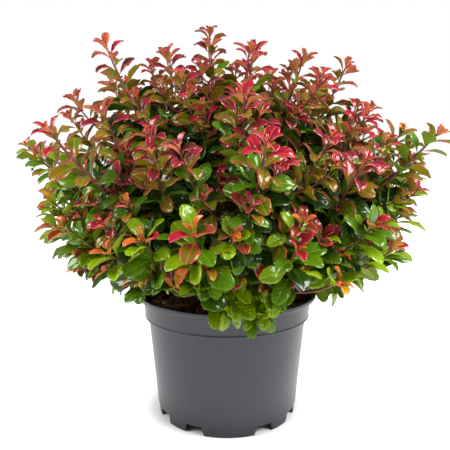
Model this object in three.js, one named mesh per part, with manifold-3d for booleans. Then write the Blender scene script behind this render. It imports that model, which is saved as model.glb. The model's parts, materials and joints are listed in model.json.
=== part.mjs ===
import * as THREE from "three";
import { mergeVertices } from "three/addons/utils/BufferGeometryUtils.js";
import Module from "manifold-3d";

// A dense evergreen shrub in a round nursery pot, in millimetres, +Z up.
// The origin is the middle of the pot's flat underside, and the front is -Y.

const degree = Math.PI / 180;
const clearance = 0.3; // gap between pieces that touch on the real plant
const up = new THREE.Vector3(0, 0, 1);

// Pot: a five litre container with a rolled lip, a collar and a notched foot ring
const rimRadius = 115;
const potHeight = 158;
const lipHeight = 6.4;
const lipRound = 1.4;
const lipTop = 3.4; // from the rim's edge to where its level top ends
const collarTopRadius = 108.4;
const collarFootRadius = 106;
const collarFootHeight = 127.3;
const bodyTopRadius = 101.8;
const bodyFootRadius = 91;
const footHeight = 11.5;
const footTopRadius = 90.3;
const footRadius = 89.2;
const footRingThickness = 5.6;
const potWall = 2.2;
const potLedge = 0.8; // small slopes that part its foot, body, collar and lip
const floorFillet = { across: 3, up: 2 };
const padRadius = 46;
const padSlope = 5;
const padThickness = 3.2;
const potSides = 28;

// Foot ring, in degrees round the pot: four wide feet, four narrow ones, notches between
const wideFoot = 43;
const notchAngle = 13;
const footTurn = 1.6;
const notchDraft = 2.6; // a notch is this much wider at the ground, on each side
const notchHeight = 11.1;
const drainRadius = 4.5;
const drainCircle = 68;
const drainSides = 8;
const cutterReach = 1; // past the faces it cuts

// Soil, with a level patch where the stem stands
const soilHeight = 150;
const soilEdgeDrop = 4;
const soilRelief = 1.6;
const soilRings = [{ radius: 84, rise: 0.3 }, { radius: 64, rise: 0.6 }, { radius: 44, rise: 0.85 }];
const soilSides = 24;
const stemPatchRadius = 26;

// Main stem, from the soil to the foot of the top foliage
const stemFlareRadius = 19;
const stemWaistRadius = 12.6;
const stemFlareShare = 0.16; // of its height
const stemTipRadius = 4.2;
const stemTipHeight = 246;
const stemLean = new THREE.Vector3(4, -3, 0);
const stemBend = 2.5;
const stemSides = 10;
const stemSteps = 6;
const flareShares = [0, 0.04, 0.09];

// Crown: how far the shoots reach from its heart, by the angle above the horizon
const crownHeart = new THREE.Vector3(0, 0, 165);
const crownReach = [
  { elevation: -14, reach: 146 },
  { elevation: 1, reach: 162 },
  { elevation: 8, reach: 192 },
  { elevation: 16, reach: 252 },
  { elevation: 36, reach: 329 },
  { elevation: 62, reach: 338 },
  { elevation: 90, reach: 346 },
];
const crownSeed = 102;

// Rings of boughs, each bough with one mass of foliage. Angles are in degrees.
const rings = [
  {
    name: "low", count: 8, firstAzimuth: -15, elevation: 12, spreadAcross: 18, spreadUp: 12.5,
    leaveHeight: 164, boughReach: 96, boughRadius: 3.8,
  },
  {
    name: "side", count: 8, firstAzimuth: 7.5, elevation: 36, spreadAcross: 15.5, spreadUp: 12,
    leaveHeight: 184, boughReach: 118, boughRadius: 3.6,
  },
  {
    name: "shoulder", count: 5, firstAzimuth: -8, elevation: 62, spreadAcross: 14.5, spreadUp: 11.5,
    leaveHeight: 207, boughReach: 132, boughRadius: 3.4,
  },
];
const topSpread = 11;
const topLean = 4;
const boughTipShare = 0.72; // tip radius over foot radius
const boughRise = 0.6; // of its mass's elevation, where it leaves the stem
const boughSag = { from: 0.032, to: 0.096 }; // of its length
const boughSides = 5;
const boughSteps = 4;

// Foliage: a stem through each mass, side shoots off it, leaves in a spiral on both
const sideShoots = 5;
const stemShare = { from: 0.08, to: 0.5 }; // where side shoots leave the stem
const sideJitter = 14; // degrees
const mainReach = { from: 0.9, to: 1.02 }; // share of the crown's reach
const sideReach = { from: 0.85, to: 0.93 };
const narrowings = [1, 0.86, 0.72, 0.58];
const upwardTurn = 0.42; // how far a shoot's tip turns up
const stemTwig = { foot: 2.8, tip: 1.4 }; // radii
const shootTwig = { foot: 1.5, tip: 1.1 };
const twigSides = 3;
const stemCollar = 5; // a mass's stem runs on this far in line with its bough
const stemSegments = 3;
const shootSegments = 2;
const leavesOnStem = 6;
const leavesOnShoot = 5;
const firstLeafShare = 0.2; // where the first and last leaves sit along a twig
const lastLeafShare = 0.97;
const leafLength = { inner: 60, outer: 46 };
const leafSlimness = 0.58;
const leafThickness = 0.03; // of its length, as are the next two
const leafArch = 0.08;
const leafWidestShare = 0.6;
const leafSpread = { inner: 76, outer: 36 }; // angle between leaf and shoot
const leafFacing = 0.6; // how far a leaf's face turns up
const leafOverhang = 33.5; // how far leaves reach past the end of their twig
const leafTries = 6; // each round of tries, once round the twig, is further in and smaller
const leafTryShift = 0.04;
const leafTrySize = 0.84;
const spaceMargin = 0.25;
const limbMargin = 1;
const weldGrid = 0.001;
const mergeDistance = 1e-4;
const warmUps = 3; // numbers passed over, as near seeds give like first numbers

// A repeatable stream of numbers between two bounds
function seededStream(seed) {
  const modulus = 2147483647;
  const multiplier = 16807;
  let state = seed;
  const draw = () => {
    state = (state * multiplier) % modulus;
    return state / modulus;
  };
  for (let k = 0; k < warmUps; k += 1) draw();
  return (low, high) => low + (high - low) * draw();
}

function solidFrom(geometry) {
  const bare = geometry.clone();
  bare.deleteAttribute("normal");
  bare.deleteAttribute("uv");
  const merged = mergeVertices(bare, mergeDistance);
  return new wasm.Manifold(new wasm.Mesh({
    numProp: 3,
    vertProperties: new Float32Array(merged.attributes.position.array),
    triVerts: new Uint32Array(merged.index.array),
  }));
}

function geometryFrom(solid) {
  const mesh = solid.getMesh();
  const geometry = new THREE.BufferGeometry();
  geometry.setAttribute("position", new THREE.BufferAttribute(mesh.vertProperties, 3));
  geometry.setIndex(new THREE.BufferAttribute(mesh.triVerts, 1));
  geometry.computeVertexNormals();
  return geometry;
}

function isEmpty(solid) {
  return solid.getMesh().triVerts.length === 0;
}

function interpolate(from, to, share) {
  return from + (to - from) * share;
}

// The direction along a limb at each point of its path, with two more square to it
function limbFrames(path, roll = 0) {
  const mostAligned = 0.8;
  let side = directionAt(roll, 0);
  return path.map((point, ring) => {
    const before = path[Math.max(ring - 1, 0)];
    const after = path[Math.min(ring + 1, path.length - 1)];
    const along = after.clone().sub(before).normalize();
    if (ring === 0 && Math.abs(along.dot(side)) > mostAligned) side = directionAt(roll + 90, 0);
    side = side.clone().addScaledVector(along, -along.dot(side)).normalize();
    return { point, along, side, across: along.clone().cross(side) };
  });
}

function aroundLimb(frame, angle) {
  return frame.side.clone().multiplyScalar(Math.cos(angle * degree))
    .addScaledVector(frame.across, Math.sin(angle * degree));
}

// A closed limb of flat-sided rings, with a radius at each point of its path
function taperedLimb(frames, radii, sides) {
  const positions = [];
  const index = [];
  frames.forEach((frame, ring) => {
    for (let k = 0; k < sides; k += 1) {
      const corner = frame.point.clone()
        .addScaledVector(aroundLimb(frame, (360 * k) / sides), radii[ring]);
      positions.push(corner.x, corner.y, corner.z);
    }
  });
  for (let ring = 0; ring < frames.length - 1; ring += 1) {
    for (let k = 0; k < sides; k += 1) {
      const a = ring * sides + k;
      const b = ring * sides + ((k + 1) % sides);
      index.push(a, b, b + sides, a, b + sides, a + sides);
    }
  }
  const last = (frames.length - 1) * sides;
  for (let k = 1; k < sides - 1; k += 1) {
    index.push(0, k + 1, k, last, last + k, last + k + 1);
  }
  const geometry = new THREE.BufferGeometry();
  geometry.setAttribute("position", new THREE.Float32BufferAttribute(positions, 3));
  geometry.setIndex(index);
  return geometry;
}

function taper(from, to, count) {
  return Array.from({ length: count }, (_, k) => interpolate(from, to, k / (count - 1)));
}

function lathe(profile, sides = potSides) {
  return new THREE.LatheGeometry(profile.map(([r, z]) => new THREE.Vector2(r, z)), sides)
    .rotateX(Math.PI / 2);
}

// Pot shell: underside pad and drain channel, foot ring, body, collar, lip, then the inside
function potProfile() {
  const lipFoot = potHeight - lipHeight;
  const ringInner = footRadius - footRingThickness;
  const floorTop = footHeight + potWall;
  return [
    [0, 0],
    [padRadius, 0],
    [padRadius + padSlope, footHeight],
    [ringInner - potLedge, footHeight],
    [ringInner, 0],
    [footRadius, 0],
    [footTopRadius, footHeight],
    [bodyFootRadius, footHeight + potLedge],
    [bodyTopRadius, collarFootHeight - potLedge],
    [bodyTopRadius + potLedge, collarFootHeight],
    [collarFootRadius - potLedge, collarFootHeight],
    [collarFootRadius, collarFootHeight + potLedge],
    [collarTopRadius, lipFoot - potLedge],
    [collarTopRadius + potLedge, lipFoot],
    [rimRadius - lipRound, lipFoot],
    [rimRadius, lipFoot + lipRound],
    [rimRadius, potHeight - lipRound],
    [rimRadius - lipRound, potHeight],
    [rimRadius - lipTop, potHeight],
    [collarTopRadius, potHeight - lipRound * 2],
    [collarTopRadius - potWall, lipFoot],
    [collarFootRadius - potWall, collarFootHeight + potWall],
    [bodyTopRadius - potWall, collarFootHeight - potWall],
    [bodyFootRadius - potWall, floorTop + floorFillet.up],
    [bodyFootRadius - potWall - floorFillet.across, floorTop],
    [padRadius + potLedge, floorTop],
    [padRadius - padSlope, padThickness],
    [0, padThickness],
  ];
}

function notchCutter(angle) {
  const half = footRadius * Math.sin((notchAngle / 2) * degree);
  const outline = new THREE.Shape([
    new THREE.Vector2(-half - notchDraft, -cutterReach),
    new THREE.Vector2(half + notchDraft, -cutterReach),
    new THREE.Vector2(half, notchHeight),
    new THREE.Vector2(-half, notchHeight),
  ]);
  const depth = footRingThickness * 3;
  return new THREE.ExtrudeGeometry(outline, { depth, bevelEnabled: false })
    .rotateX(Math.PI / 2)
    .translate(0, -footRadius + footRingThickness * 2, 0)
    .rotateZ(angle * degree);
}

function drainCutter(angle) {
  const length = potWall + cutterReach * 2;
  return new THREE.CylinderGeometry(drainRadius, drainRadius, length, drainSides)
    .rotateX(Math.PI / 2)
    .translate(0, -drainCircle, footHeight + potWall / 2)
    .rotateZ(angle * degree);
}

function makePot() {
  let solid = solidFrom(lathe(potProfile()));
  for (let quarter = 0; quarter < 4; quarter += 1) {
    for (const sign of [-1, 1]) {
      const angle = footTurn + quarter * 90 + sign * (wideFoot / 2 + notchAngle / 2);
      solid = solid.subtract(solidFrom(notchCutter(angle)));
      solid = solid.subtract(solidFrom(drainCutter(angle)));
    }
  }
  return geometryFrom(solid);
}

// Soil fills the pot and has a low uneven surface round the level patch
function makeSoil() {
  const floorTop = footHeight + potWall + clearance;
  const padTop = padThickness + clearance;
  const edgeHeight = soilHeight - soilEdgeDrop;
  const collarShare = (edgeHeight - collarFootHeight) / (potHeight - lipHeight - collarFootHeight);
  const edgeRadius = interpolate(collarFootRadius, collarTopRadius, collarShare);
  const flatSides = Math.cos(Math.PI / potSides);
  const within = (outside) => (outside - potWall) * flatSides - clearance;
  const profile = [
    [0, padTop],
    [padRadius - padSlope - clearance, padTop],
    [padRadius, floorTop],
    [within(bodyFootRadius) - floorFillet.across, floorTop],
    [within(bodyFootRadius), floorTop + floorFillet.up],
    [within(bodyTopRadius), collarFootHeight - potWall],
    [within(collarFootRadius), collarFootHeight + potWall + potLedge],
    [within(edgeRadius), edgeHeight],
    ...soilRings.map(({ radius, rise }) => [radius, interpolate(edgeHeight, soilHeight, rise)]),
    [stemPatchRadius, soilHeight],
    [0, soilHeight],
  ];
  const isOnRing = (radius) => soilRings.some((ring) => Math.abs(ring.radius - radius) < 1);
  const geometry = lathe(profile, soilSides);
  const place = geometry.attributes.position;
  for (let k = 0; k < place.count; k += 1) {
    const x = place.getX(k);
    const y = place.getY(k);
    const radius = Math.hypot(x, y);
    if (isOnRing(radius) && place.getZ(k) > edgeHeight) {
      const wave = Math.sin(x / 9) * Math.cos(y / 11) + 0.5 * Math.sin((x + y) / 6);
      place.setZ(k, place.getZ(k) + soilRelief * wave);
    }
  }
  return geometryFrom(solidFrom(geometry));
}

// The main stem leans and bends a little, and its ends are level cuts
function stemPoint(share) {
  const height = interpolate(soilHeight + clearance, stemTipHeight, share);
  const bend = stemBend * Math.sin(Math.PI * share);
  return stemLean.clone().multiplyScalar(share).add(new THREE.Vector3(-bend, bend, height));
}

function stemRadius(share) {
  const flare = Math.max(0, 1 - share / stemFlareShare);
  return interpolate(stemWaistRadius, stemTipRadius, share)
    + (stemFlareRadius - stemWaistRadius) * flare * flare;
}

function stemGeometry(extra) {
  const shares = [...flareShares];
  for (let k = 0; k <= stemSteps; k += 1) {
    shares.push(interpolate(stemFlareShare, 1, k / stemSteps));
  }
  const axisPoint = (share) => [0, stemPoint(share).z];
  const wallPoint = (share) => [stemRadius(share) + extra, stemPoint(share).z];
  const geometry = lathe([axisPoint(0), ...shares.map(wallPoint), axisPoint(1)], stemSides);
  const place = geometry.attributes.position;
  for (let k = 0; k < place.count; k += 1) {
    const share = (place.getZ(k) - stemPoint(0).z) / (stemTipHeight - stemPoint(0).z);
    const middle = stemPoint(share);
    place.setXY(k, place.getX(k) + middle.x, place.getY(k) + middle.y);
  }
  return geometry;
}

// Directions are given by azimuth and elevation seen from the heart of the crown
function directionAt(azimuth, elevation) {
  const level = Math.cos(elevation * degree);
  return new THREE.Vector3(
    level * Math.cos(azimuth * degree),
    level * Math.sin(azimuth * degree),
    Math.sin(elevation * degree),
  );
}

function reachAlong(direction) {
  const elevation = Math.asin(THREE.MathUtils.clamp(direction.z, -1, 1)) / degree;
  const last = crownReach.length - 1;
  if (elevation <= crownReach[0].elevation) return crownReach[0].reach;
  let k = 0;
  while (k < last - 1 && elevation > crownReach[k + 1].elevation) k += 1;
  const low = crownReach[k];
  const high = crownReach[k + 1];
  const share = (elevation - low.elevation) / (high.elevation - low.elevation);
  return interpolate(low.reach, high.reach, Math.min(share, 1));
}

// One entry for each mass of foliage: its middle direction, spread and bough
function planMasses() {
  const masses = [];
  rings.forEach((ring, ringNumber) => {
    for (let k = 0; k < ring.count; k += 1) {
      const azimuth = ring.firstAzimuth + (360 * k) / ring.count;
      masses.push({
        name: `${ring.name}_foliage_${k + 1}`,
        boughName: `${ring.name}_bough_${k + 1}`,
        direction: directionAt(azimuth, ring.elevation),
        azimuth,
        ring,
        seed: crownSeed * 1000 + ringNumber * 100 + k + 1,
      });
    }
  });
  masses.push({
    name: "top_foliage",
    direction: directionAt(180, 90 - topLean),
    azimuth: 180,
    ring: { name: "top", spreadAcross: topSpread, spreadUp: topSpread },
    seed: crownSeed * 1000 + 901,
  });
  return masses;
}

function boughCurve(mass) {
  const { ring, azimuth, direction } = mass;
  const share = (ring.leaveHeight - soilHeight) / (stemTipHeight - soilHeight);
  const foot = stemPoint(share);
  const tip = crownHeart.clone().addScaledVector(direction, ring.boughReach);
  const random = seededStream(mass.seed + 50);
  const outward = directionAt(azimuth, ring.elevation * boughRise);
  const middle = foot.clone().addScaledVector(outward, foot.distanceTo(tip) / 2);
  middle.z -= foot.distanceTo(tip) * random(boughSag.from, boughSag.to);
  return new THREE.QuadraticBezierCurve3(foot, middle, tip);
}

function boughGeometry(mass, extra) {
  const path = boughCurve(mass).getPoints(boughSteps);
  const radius = mass.ring.boughRadius;
  const radii = taper(radius + extra, radius * boughTipShare + extra, path.length);
  return taperedLimb(limbFrames(path), radii, boughSides);
}

// Half-spaces that part one mass from the others
function spaceWalls(mass, masses) {
  return masses
    .filter((other) => other !== mass)
    .map((other) => mass.direction.clone().sub(other.direction).normalize());
}

function isInSpace(point, walls, margin) {
  const offset = point.clone().sub(crownHeart);
  return walls.every((wall) => offset.dot(wall) >= margin);
}

function tangentFrame(direction) {
  const nearlyUpright = 0.99;
  const side = Math.abs(direction.z) > nearlyUpright
    ? new THREE.Vector3(1, 0, 0)
    : up.clone().cross(direction).normalize();
  return { across: side, upward: direction.clone().cross(side).normalize() };
}

// A shoot bends from its foot towards its tip, and its tip turns up
function shootCurve(foot, tip, direction) {
  const level = Math.sqrt(Math.max(0, 1 - direction.z ** 2));
  const finish = direction.clone().addScaledVector(up, upwardTurn * level).normalize();
  const middle = tip.clone().addScaledVector(finish, -foot.distanceTo(tip) / 2);
  return new THREE.QuadraticBezierCurve3(foot, middle, tip);
}

function tipOf(direction, factor) {
  const reach = reachAlong(direction) * factor - leafOverhang;
  return crownHeart.clone().addScaledVector(direction, reach);
}

// Where a mass begins: the end of its bough, or of the main stem, and the way it points
function limbEnd(mass) {
  if (!mass.boughName) return { end: stemPoint(1), along: up };
  const [before, end] = boughCurve(mass).getPoints(boughSteps).slice(-2);
  return { end, along: end.clone().sub(before).normalize() };
}

// A side shoot that would leave the mass's space is tried again closer to its middle
function sideShoot(mass, walls, stem, plan) {
  const { across, upward } = tangentFrame(mass.direction);
  const { spreadAcross, spreadUp } = mass.ring;
  for (const narrowing of narrowings) {
    const direction = mass.direction.clone()
      .addScaledVector(across, Math.tan(spreadAcross * degree) * Math.cos(plan.side) * narrowing)
      .addScaledVector(upward, Math.tan(spreadUp * degree) * Math.sin(plan.side) * narrowing)
      .normalize();
    const foot = stem.curve.getPoint(plan.leave);
    const shoot = {
      curve: shootCurve(foot, tipOf(direction, plan.reach), direction),
      radii: shootTwig,
      segments: shootSegments,
      leaves: leavesOnShoot,
      roll: plan.roll,
    };
    const margin = shootTwig.foot + spaceMargin;
    if (shootPath(shoot).every((point) => isInSpace(point, walls, margin))) return shoot;
  }
  return null;
}

function planShoots(mass, walls) {
  const random = seededStream(mass.seed);
  const { end, along } = limbEnd(mass);
  const seat = end.clone().addScaledVector(along, clearance);
  const foot = end.clone().addScaledVector(along, stemCollar);
  const mainTip = tipOf(mass.direction, random(mainReach.from, mainReach.to));
  const stem = {
    seat,
    curve: shootCurve(foot, mainTip, mass.direction),
    radii: stemTwig,
    segments: stemSegments,
    leaves: leavesOnStem,
    roll: random(0, 360),
  };
  const shoots = [stem];
  const firstSide = random(0, 360);
  for (let k = 0; k < sideShoots; k += 1) {
    const plan = {
      side: (firstSide + (360 * k) / sideShoots + random(-sideJitter, sideJitter)) * degree,
      leave: random(stemShare.from, stemShare.to),
      reach: random(sideReach.from, sideReach.to),
      roll: random(0, 360),
    };
    const shoot = sideShoot(mass, walls, stem, plan);
    if (shoot) shoots.push(shoot);
  }
  return shoots;
}

function shootPath(shoot) {
  const path = shoot.curve.getPoints(shoot.segments);
  return shoot.seat ? [shoot.seat, ...path] : path;
}

// A leaf is an arched blade of six faces, widest past its middle
function leafGeometry(root, direction, normal, length) {
  const side = direction.clone().cross(normal).negate();
  const width = length * leafSlimness;
  const arch = length * leafArch;
  const at = (along, across, above) => root.clone()
    .addScaledVector(direction, along)
    .addScaledVector(side, across)
    .addScaledVector(normal, above);
  const corners = [
    at(0, 0, 0),
    at(length * leafWidestShare, -width / 2, arch),
    at(length, 0, -arch),
    at(length * leafWidestShare, width / 2, arch),
    at(length * leafWidestShare, 0, arch + length * leafThickness),
  ];
  const geometry = new THREE.BufferGeometry();
  const positions = corners.flatMap((corner) => corner.toArray());
  geometry.setAttribute("position", new THREE.Float32BufferAttribute(positions, 3));
  geometry.setIndex([0, 1, 4, 1, 2, 4, 2, 3, 4, 3, 0, 4, 0, 3, 1, 3, 2, 1]);
  return { geometry, corners };
}

// Leaves sit in the middle of a twig's flat sides, one side after another
function leafOn(frames, share, sideNumber, outerness, size) {
  const place = share * (frames.length - 1);
  const k = Math.min(Math.floor(place), frames.length - 2);
  const root = frames[k].point.clone().lerp(frames[k + 1].point, place - k);
  const along = frames[k + 1].point.clone().sub(frames[k].point).normalize();
  const radial = aroundLimb(frames[k], (360 / twigSides) * (sideNumber + 0.5));
  const spread = interpolate(leafSpread.inner, leafSpread.outer, outerness) * degree;
  const direction = along.clone().multiplyScalar(Math.cos(spread))
    .addScaledVector(radial, Math.sin(spread)).normalize();
  const facing = along.clone().addScaledVector(up, leafFacing);
  const normal = facing.addScaledVector(direction, -facing.dot(direction)).normalize();
  const length = interpolate(leafLength.inner, leafLength.outer, outerness) * size;
  return leafGeometry(root, direction, normal, length);
}

function growTwig(shoot) {
  const frames = limbFrames(shootPath(shoot), shoot.roll);
  const radii = taper(shoot.radii.foot, shoot.radii.tip, frames.length);
  return { ...shoot, frames, twig: solidFrom(taperedLimb(frames, radii, twigSides)) };
}

// Leaves stand clear of the limbs, of each other and of every twig but their own
function growLeaves(shoot, walls, isFree) {
  const leaves = [];
  for (let k = 0; k < shoot.leaves; k += 1) {
    const outerness = (k + 1) / shoot.leaves;
    const share = interpolate(firstLeafShare, lastLeafShare, k / (shoot.leaves - 1));
    for (let attempt = 0; attempt < leafTries; attempt += 1) {
      const round = Math.floor(attempt / twigSides);
      const size = leafTrySize ** round;
      const leaf = leafOn(shoot.frames, share - leafTryShift * round, k + attempt, outerness, size);
      const isInside = leaf.corners.slice(1).every((p) => isInSpace(p, walls, spaceMargin));
      if (!isInside) continue;
      const solid = solidFrom(leaf.geometry);
      if (!isFree(solid, leaves)) continue;
      leaves.push(solid);
      break;
    }
  }
  return leaves;
}

// Fusing leaves some corners almost in one place: they are merged, with what collapses
function welded(geometry) {
  const place = geometry.attributes.position;
  const numbers = new Map();
  const positions = [];
  const corner = Array.from({ length: place.count }, (_, k) => {
    const point = [place.getX(k), place.getY(k), place.getZ(k)];
    const rounded = point.map((v) => Math.round(v / weldGrid) * weldGrid);
    const key = rounded.map((v) => Math.round(v / weldGrid)).join();
    if (!numbers.has(key)) {
      numbers.set(key, numbers.size);
      positions.push(...rounded);
    }
    return numbers.get(key);
  });
  const faces = new Map();
  for (let k = 0; k < geometry.index.count; k += 3) {
    const face = [0, 1, 2].map((j) => corner[geometry.index.getX(k + j)]);
    const key = [...face].sort((a, b) => a - b).join();
    if (new Set(face).size < 3) continue;
    if (faces.has(key)) faces.delete(key);
    else faces.set(key, face);
  }
  const result = new THREE.BufferGeometry();
  result.setAttribute("position", new THREE.Float32BufferAttribute(positions, 3));
  result.setIndex([...faces.values()].flat());
  return result;
}

// Fusing can also cut off a scrap or seal a hollow: only the largest shell is kept
function largestShell(geometry) {
  const index = geometry.index.array;
  const parent = Array.from({ length: geometry.attributes.position.count }, (_, k) => k);
  const find = (k) => {
    let root = k;
    while (parent[root] !== root) root = parent[root];
    parent[k] = root;
    return root;
  };
  for (let k = 0; k < index.length; k += 3) {
    parent[find(index[k + 1])] = find(index[k]);
    parent[find(index[k + 2])] = find(index[k]);
  }
  const shells = new Map();
  for (let k = 0; k < index.length; k += 3) {
    const root = find(index[k]);
    if (!shells.has(root)) shells.set(root, []);
    shells.get(root).push(index[k], index[k + 1], index[k + 2]);
  }
  const largest = [...shells.values()].reduce((a, b) => (b.length > a.length ? b : a));
  const kept = geometry.clone();
  kept.setIndex(largest);
  return kept;
}

function isClosed(geometry) {
  const index = geometry.index.array;
  const uses = new Map();
  for (let k = 0; k < index.length; k += 1) {
    const next = k % 3 === 2 ? k - 2 : k + 1;
    const key = [index[k], index[next]].sort((a, b) => a - b).join();
    uses.set(key, (uses.get(key) ?? 0) + 1);
  }
  return [...uses.values()].every((count) => count === 2);
}

function fused(pieces) {
  const solid = pieces.reduce((whole, piece) => whole.add(piece));
  return largestShell(welded(geometryFrom(solid)));
}

// A mass that doesn't close when it is fused goes without one of its leaves
function makeFoliage(mass, masses, obstacles) {
  const walls = spaceWalls(mass, masses);
  const shoots = planShoots(mass, walls).map(growTwig);
  const leaves = [];
  for (const shoot of shoots) {
    const others = shoots.filter((other) => other !== shoot).map((other) => other.twig);
    const isFree = (solid, siblings) => [obstacles, ...others, ...leaves, ...siblings]
      .every((thing) => isEmpty(solid.intersect(thing)));
    leaves.push(...growLeaves(shoot, walls, isFree));
  }

  const twigs = shoots.map((shoot) => shoot.twig);
  const whole = fused([...twigs, ...leaves]);
  if (isClosed(whole)) return whole;
  const others = leaves.map((left) => leaves.filter((leaf) => leaf !== left));
  return others.map((kept) => fused([...twigs, ...kept])).find(isClosed);
}

function finish(color, roughness) {
  return new THREE.MeshStandardMaterial({ color, roughness, metalness: 0 });
}

function addPiece(group, name, geometry, material) {
  const mesh = new THREE.Mesh(geometry, material);
  mesh.name = name;
  group.add(mesh);
}

const wasm = await Module();
wasm.setup();

const plasticFinish = finish(0x4a4d55, 0.45);
const soilFinish = finish(0x2c1a12, 0.95);
const barkFinish = finish(0x5a3526, 0.8);
const foliageFinish = {
  low: finish(0x3f7a1f, 0.35),
  side: finish(0x6d5a2a, 0.35),
  shoulder: finish(0x97303c, 0.35),
  top: finish(0x9c2f3c, 0.35),
};

const pottedShrub = new THREE.Group();
addPiece(pottedShrub, "pot", makePot(), plasticFinish);
addPiece(pottedShrub, "potting_soil", makeSoil(), soilFinish);
addPiece(pottedShrub, "main_stem", stemGeometry(0), barkFinish);

// Limbs and pot, a little swollen, that no leaf may touch
const masses = planMasses();
const boughs = masses.filter((mass) => mass.boughName);
const keepOutHeight = potHeight + limbMargin;
const keepOutRadius = rimRadius + limbMargin;
let obstacles = solidFrom(lathe([
  [0, footHeight], [keepOutRadius, footHeight], [keepOutRadius, keepOutHeight], [0, keepOutHeight],
]));
obstacles = obstacles.add(solidFrom(stemGeometry(limbMargin)));
for (const bough of boughs) {
  obstacles = obstacles.add(solidFrom(boughGeometry(bough, limbMargin)));
}

const stemSeat = solidFrom(stemGeometry(clearance));
for (const bough of boughs) {
  const solid = solidFrom(boughGeometry(bough, 0)).subtract(stemSeat);
  addPiece(pottedShrub, bough.boughName, largestShell(welded(geometryFrom(solid))), barkFinish);
}
for (const mass of masses) {
  const foliage = makeFoliage(mass, masses, obstacles);
  addPiece(pottedShrub, mass.name, foliage, foliageFinish[mass.ring.name]);
}

export default pottedShrub;
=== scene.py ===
import bpy
import json
import math
from mathutils import Matrix, Vector

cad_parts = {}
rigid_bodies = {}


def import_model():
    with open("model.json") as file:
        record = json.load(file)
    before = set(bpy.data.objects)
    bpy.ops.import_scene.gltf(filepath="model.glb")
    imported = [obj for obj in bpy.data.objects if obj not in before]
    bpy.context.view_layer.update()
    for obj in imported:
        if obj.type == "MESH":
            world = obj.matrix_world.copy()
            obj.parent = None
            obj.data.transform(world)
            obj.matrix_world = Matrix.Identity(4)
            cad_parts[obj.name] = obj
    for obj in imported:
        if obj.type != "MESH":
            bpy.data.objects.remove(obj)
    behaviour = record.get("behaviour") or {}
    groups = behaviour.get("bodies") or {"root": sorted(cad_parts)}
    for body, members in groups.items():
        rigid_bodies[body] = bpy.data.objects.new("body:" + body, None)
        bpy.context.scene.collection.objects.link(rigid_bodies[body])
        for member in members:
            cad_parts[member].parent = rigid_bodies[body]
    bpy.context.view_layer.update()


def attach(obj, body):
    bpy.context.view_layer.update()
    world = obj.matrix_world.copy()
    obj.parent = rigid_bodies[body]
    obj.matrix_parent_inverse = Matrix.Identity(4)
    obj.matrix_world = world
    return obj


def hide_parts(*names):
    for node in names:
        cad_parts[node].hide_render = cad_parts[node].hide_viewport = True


# Evergreen shrub in a nursery pot. The plan is in millimetres, as the shrub was measured,
# and every mesh is made in metres. The front is -Y and the pot stands on the origin.

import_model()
mm = 0.001
upward = Vector((0, 0, 1))


def seededStream(seed):
    # the same repeatable numbers that the crown was first grown from
    state = seed

    def draw(low, high):
        nonlocal state
        state = (state * 16807) % 2147483647
        return low + (high - low) * state / 2147483647

    for warmUp in range(3):
        draw(0, 1)
    return draw


def between(low, high, share):
    return low + (high - low) * share


def clamped(value):
    return min(max(value, 0), 1)


def directionAt(azimuth, elevation):
    level = math.cos(math.radians(elevation))
    return Vector((
        level * math.cos(math.radians(azimuth)),
        level * math.sin(math.radians(azimuth)),
        math.sin(math.radians(elevation)),
    ))


def bezier(points, t):
    foot, middle, tip = points
    return foot * (1 - t) ** 2 + middle * 2 * t * (1 - t) + tip * t ** 2


def pick(draw, choices):
    return choices[int(draw(0, len(choices) - 0.001))]


def linearTone(red, green, blue):
    # a tone as a paint chart gives it, 0 to 255, into the values the shaders want
    tone = []
    for part in (red, green, blue):
        part = part / 255
        tone.append(part / 12.92 if part < 0.04045 else ((part + 0.055) / 1.055) ** 2.4)
    return (*tone, 1)


# Helpers for nodes, meshes and materials

white = (1, 1, 1, 1)


def newTree(name, kind, inputs, outputs):
    tree = bpy.data.node_groups.new(name, kind)
    for label, socketType, value in inputs:
        socket = tree.interface.new_socket(name=label, in_out="INPUT", socket_type=socketType)
        if value is not None:
            socket.default_value = value
    for label, socketType in outputs:
        tree.interface.new_socket(name=label, in_out="OUTPUT", socket_type=socketType)
    return tree, tree.nodes.new("NodeGroupInput").outputs, tree.nodes.new("NodeGroupOutput").inputs


def addNode(tree, kind, settings=None, values=None):
    # a value that is another node's socket is linked, and any other is set
    node = tree.nodes.new(kind)
    for label, value in (settings or {}).items():
        setattr(node, label, value)
    for label, value in (values or {}).items():
        if isinstance(value, bpy.types.NodeSocket):
            tree.links.new(value, node.inputs[label])
        else:
            node.inputs[label].default_value = value
    return node


def maths(tree, operation, first, second):
    return addNode(tree, "ShaderNodeMath", {"operation": operation}, {0: first, 1: second}).outputs[0]


def mapped(tree, value, source, target):
    # a value carried from one range to another
    return addNode(tree, "ShaderNodeMapRange", values={
        "Value": value, "From Min": source[0], "From Max": source[1],
        "To Min": target[0], "To Max": target[1],
    }).outputs["Result"]


def noiseAt(tree, place, scale, detail):
    values = {"Vector": place, "Scale": scale, "Detail": detail}
    return addNode(tree, "ShaderNodeTexNoise", values=values).outputs["Fac"]


def storedValue(tree, name, kind):
    node = addNode(tree, "GeometryNodeInputNamedAttribute", {"data_type": kind}, {"Name": name})
    return next(output for output in node.outputs if output.enabled)


def painted(tree, geometry, material, selection=True):
    return addNode(tree, "GeometryNodeSetMaterial", values={
        "Geometry": geometry, "Selection": selection, "Material": material,
    }).outputs[0]


def runTree(piece, tree, values):
    # sets a modifier's inputs by their identifiers and turns the result into a plain mesh
    modifier = piece.modifiers.new(tree.name, "NODES")
    modifier.node_group = tree
    for item in tree.interface.items_tree:
        if item.item_type == "SOCKET" and item.in_out == "INPUT" and item.name in values:
            modifier[item.identifier] = values[item.name]
    piece.update_tag()
    return applied(piece, modifier)


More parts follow.
